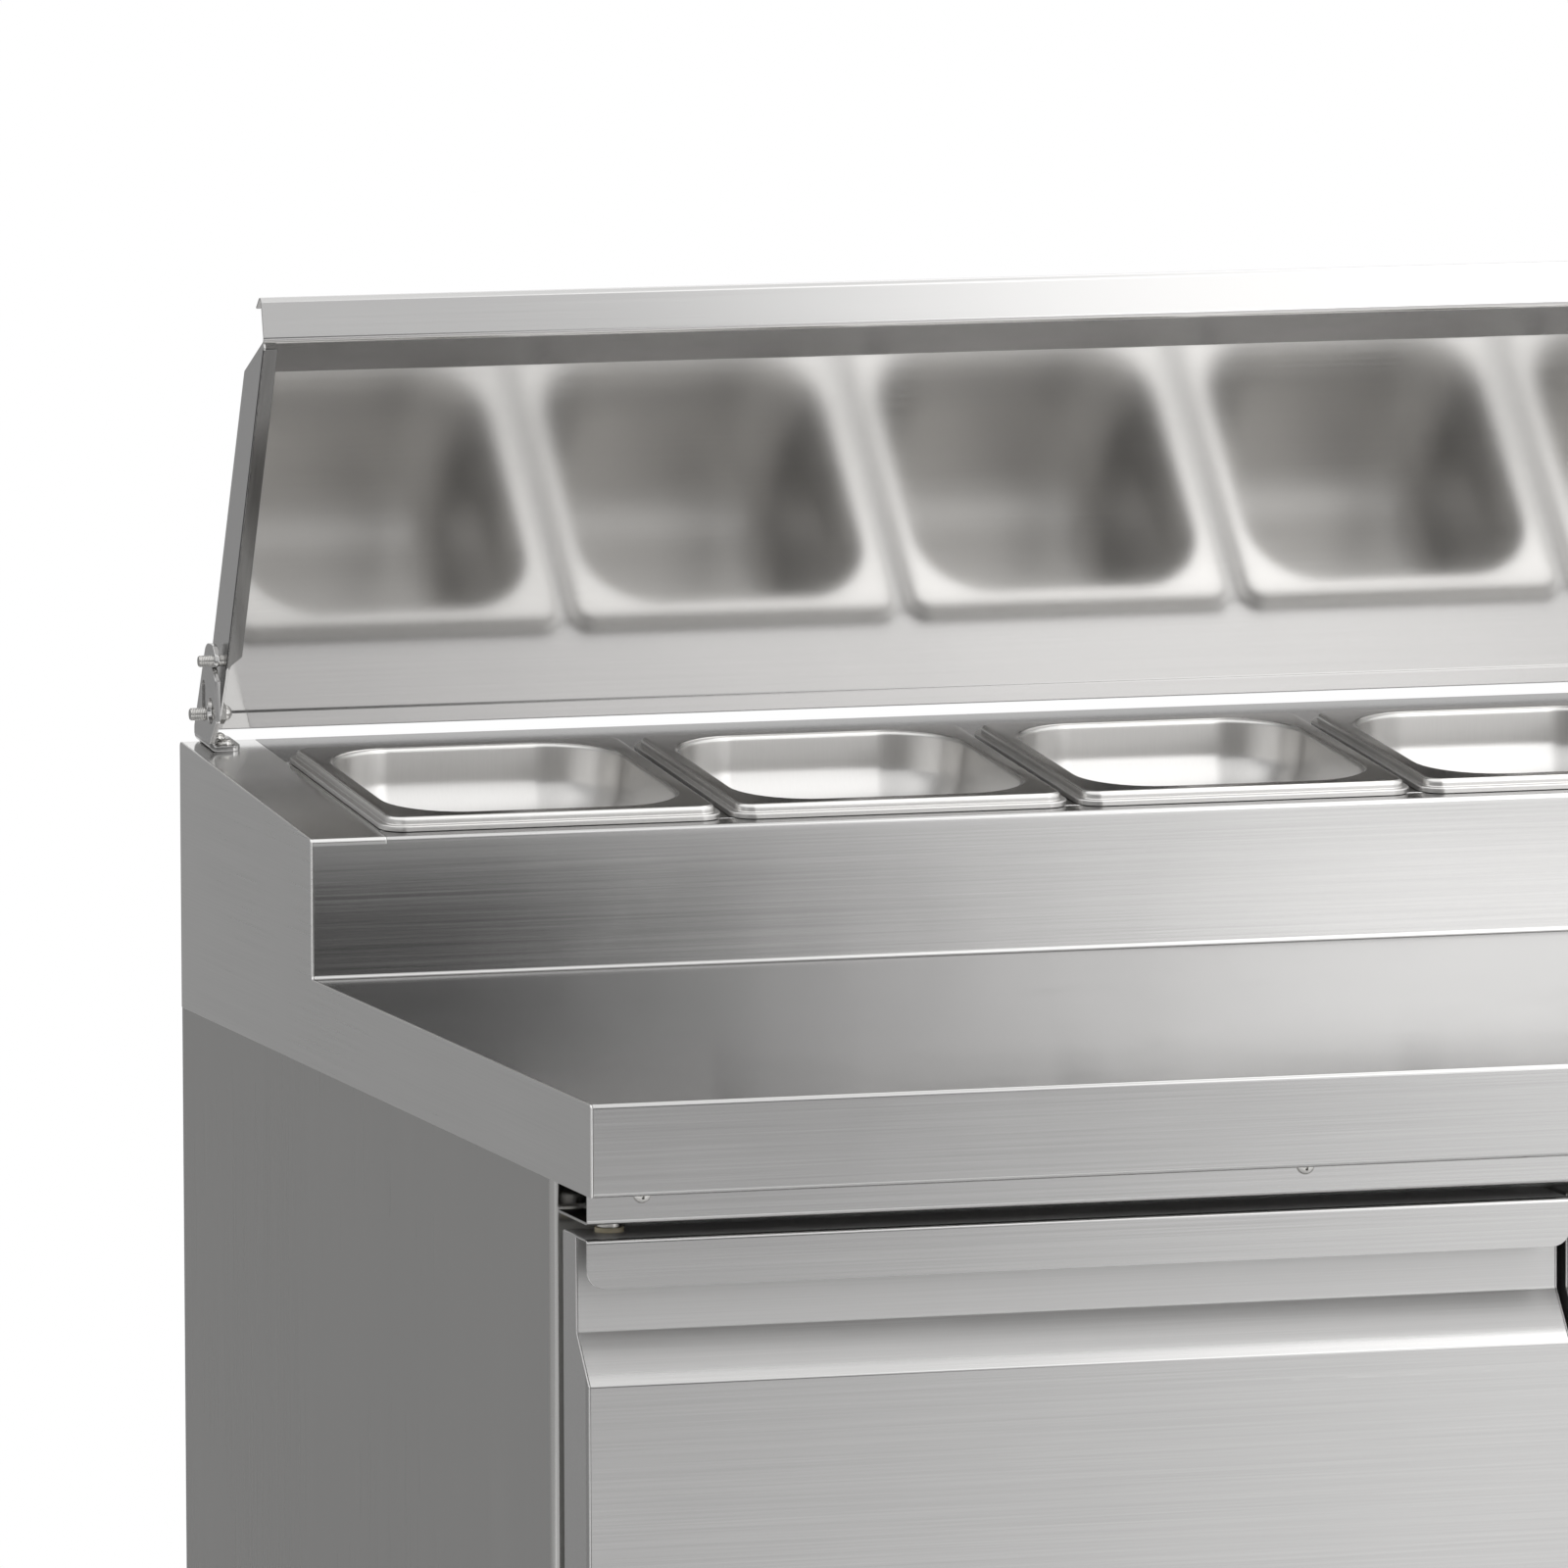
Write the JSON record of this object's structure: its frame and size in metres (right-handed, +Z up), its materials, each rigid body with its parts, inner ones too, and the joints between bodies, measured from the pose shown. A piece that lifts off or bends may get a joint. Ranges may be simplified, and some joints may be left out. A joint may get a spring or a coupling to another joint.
{
  "type": "sandwich prep counter",
  "caption": "Stainless refrigerated prep counter with a raised rear rail of gastronorm pans under a hinged lid, a flat worktop and hinged cold-cabinet doors below.",
  "frame": {"origin": "on the floor under the middle of the cabinet's 900 by 700 mm plan", "axes": "+X to the right of someone standing at the worktop, -Y to the front, +Z up"},
  "size_m": [0.9, 0.7, 1.1501],
  "materials": {
    "brushed_stainless": "satin",
    "satin_stainless": "satin",
    "bright_fasteners": "polished",
    "galvanised_steel": "matte",
    "insulation_foam": "matte",
    "door_liner": "satin",
    "gasket_rubber": "matte",
    "nylon": "satin",
    "coated_wire": "satin",
    "fin_aluminium": "satin",
    "black_machine_paint": "satin",
    "fan_plastic": "satin",
    "copper_pipe": "satin",
    "control_plastic": "satin",
    "display_window": "gloss",
    "switch_plastic": "satin"
  },
  "bodies": {
    "cabinet": {"back_panel": "galvanised_steel", "base_tray": "galvanised_steel", "cabinet_floor": "galvanised_steel", "compressor": "black_machine_paint", "condenser": "fin_aluminium", "condenser_fan_motor": "black_machine_paint", "condenser_shroud": "galvanised_steel", "controller": "control_plastic", "controller_window": "display_window", "cord_gland": "gasket_rubber", "drip_tray": "galvanised_steel", "evaporator_coil": "fin_aluminium", "evaporator_fan_motor": "black_machine_paint", "evaporator_housing": "fin_aluminium", "fixing_screws": "bright_fasteners", "front_frame": "brushed_stainless", "hinge_pins": "bright_fasteners", "inner_liner": "satin_stainless", "insulation": "insulation_foam", "left_end_cap": "brushed_stainless", "left_lid_bracket": "satin_stainless", "left_shelf": "coated_wire", "left_side_panel": "brushed_stainless", "louvre_panel": "brushed_stainless", "lower_hinge_rail": "satin_stainless", "pan_support_bars": "satin_stainless", "rear_rail": "brushed_stainless", "refrigerant_pipes": "copper_pipe", "right_end_cap": "brushed_stainless", "right_lid_bracket": "satin_stainless", "right_shelf": "coated_wire", "right_side_panel": "brushed_stainless", "shelf_rails": "coated_wire", "upper_hinge_rail": "satin_stainless", "worktop": "brushed_stainless"},
    "lid": {"lid": "brushed_stainless", "lid_bolts": "bright_fasteners"},
    "left_door": {"left_door_skin": "brushed_stainless", "left_door_inner": "door_liner", "left_door_gasket": "gasket_rubber", "left_door_bushes": "nylon"},
    "right_door": {"right_door_skin": "brushed_stainless", "right_door_inner": "door_liner", "right_door_gasket": "gasket_rubber", "right_door_bushes": "nylon"},
    "evaporator_fan": {"evaporator_fan": "fan_plastic"},
    "condenser_fan": {"condenser_fan": "fan_plastic"},
    "power_switch": {"power_switch": "switch_plastic"},
    "pan_1": {"pan_1": "satin_stainless"},
    "pan_2": {"pan_2": "satin_stainless"},
    "pan_3": {"pan_3": "satin_stainless"},
    "pan_4": {"pan_4": "satin_stainless"},
    "pan_5": {"pan_5": "satin_stainless"},
    "controller_key_1": {"controller_key_1": "control_plastic"},
    "controller_key_2": {"controller_key_2": "control_plastic"},
    "controller_key_3": {"controller_key_3": "control_plastic"},
    "foot_front_left": {"foot_front_left": "satin_stainless"},
    "foot_front_right": {"foot_front_right": "satin_stainless"},
    "foot_rear_left": {"foot_rear_left": "satin_stainless"},
    "foot_rear_right": {"foot_rear_right": "satin_stainless"}
  },
  "joints": [
    {"name": "lid_hinge", "type": "hinge", "parent": "cabinet", "child": "lid", "pos_m": [0, 0.33198, 0.949], "axis": [-1, 0, 0], "range_deg": [-69, 0]},
    {"name": "left_door_hinge", "type": "hinge", "parent": "cabinet", "child": "left_door", "pos_m": [-0.431, -0.312, 0.529], "axis": [0, 0, -1], "range_deg": [0, 100]},
    {"name": "right_door_hinge", "type": "hinge", "parent": "cabinet", "child": "right_door", "pos_m": [0.431, -0.312, 0.529], "axis": [0, 0, 1], "range_deg": [0, 100]},
    {"name": "pan_1_lift", "type": "slide", "parent": "cabinet", "child": "pan_1", "axis": [0, -0.0872, 0.9962], "range_m": [0, 0.115]},
    {"name": "pan_2_lift", "type": "slide", "parent": "cabinet", "child": "pan_2", "axis": [0, -0.0872, 0.9962], "range_m": [0, 0.115]},
    {"name": "pan_3_lift", "type": "slide", "parent": "cabinet", "child": "pan_3", "axis": [0, -0.0872, 0.9962], "range_m": [0, 0.115]},
    {"name": "pan_4_lift", "type": "slide", "parent": "cabinet", "child": "pan_4", "axis": [0, -0.0872, 0.9962], "range_m": [0, 0.115]},
    {"name": "pan_5_lift", "type": "slide", "parent": "cabinet", "child": "pan_5", "axis": [0, -0.0872, 0.9962], "range_m": [0, 0.115]},
    {"name": "evaporator_fan_spin", "type": "hinge", "parent": "cabinet", "child": "evaporator_fan", "pos_m": [0, 0.2162, 0.6345], "axis": [0, 1, 0], "continuous": true},
    {"name": "condenser_fan_spin", "type": "hinge", "parent": "cabinet", "child": "condenser_fan", "pos_m": [-0.23, -0.198, 0.1602], "axis": [0, 1, 0], "continuous": true},
    {"name": "controller_key_1_press", "type": "slide", "parent": "cabinet", "child": "controller_key_1", "axis": [0, 1, 0], "range_m": [0, 0.0008], "stiffness_N_per_m": 1500, "springref_m": -0.0005},
    {"name": "controller_key_2_press", "type": "slide", "parent": "cabinet", "child": "controller_key_2", "axis": [0, 1, 0], "range_m": [0, 0.0008], "stiffness_N_per_m": 1500, "springref_m": -0.0005},
    {"name": "controller_key_3_press", "type": "slide", "parent": "cabinet", "child": "controller_key_3", "axis": [0, 1, 0], "range_m": [0, 0.0008], "stiffness_N_per_m": 1500, "springref_m": -0.0005},
    {"name": "power_switch_rock", "type": "hinge", "parent": "cabinet", "child": "power_switch", "pos_m": [-0.046, -0.3386, 0.169], "axis": [-1, 0, 0], "range_deg": [0, 14]},
    {"name": "foot_front_left_thread", "type": "slide", "parent": "cabinet", "child": "foot_front_left", "axis": [0, 0, 1], "range_m": [-0.025, 0]},
    {"name": "foot_front_right_thread", "type": "slide", "parent": "cabinet", "child": "foot_front_right", "axis": [0, 0, 1], "range_m": [-0.025, 0]},
    {"name": "foot_rear_left_thread", "type": "slide", "parent": "cabinet", "child": "foot_rear_left", "axis": [0, 0, 1], "range_m": [-0.025, 0]},
    {"name": "foot_rear_right_thread", "type": "slide", "parent": "cabinet", "child": "foot_rear_right", "axis": [0, 0, 1], "range_m": [-0.025, 0]}
  ]
}
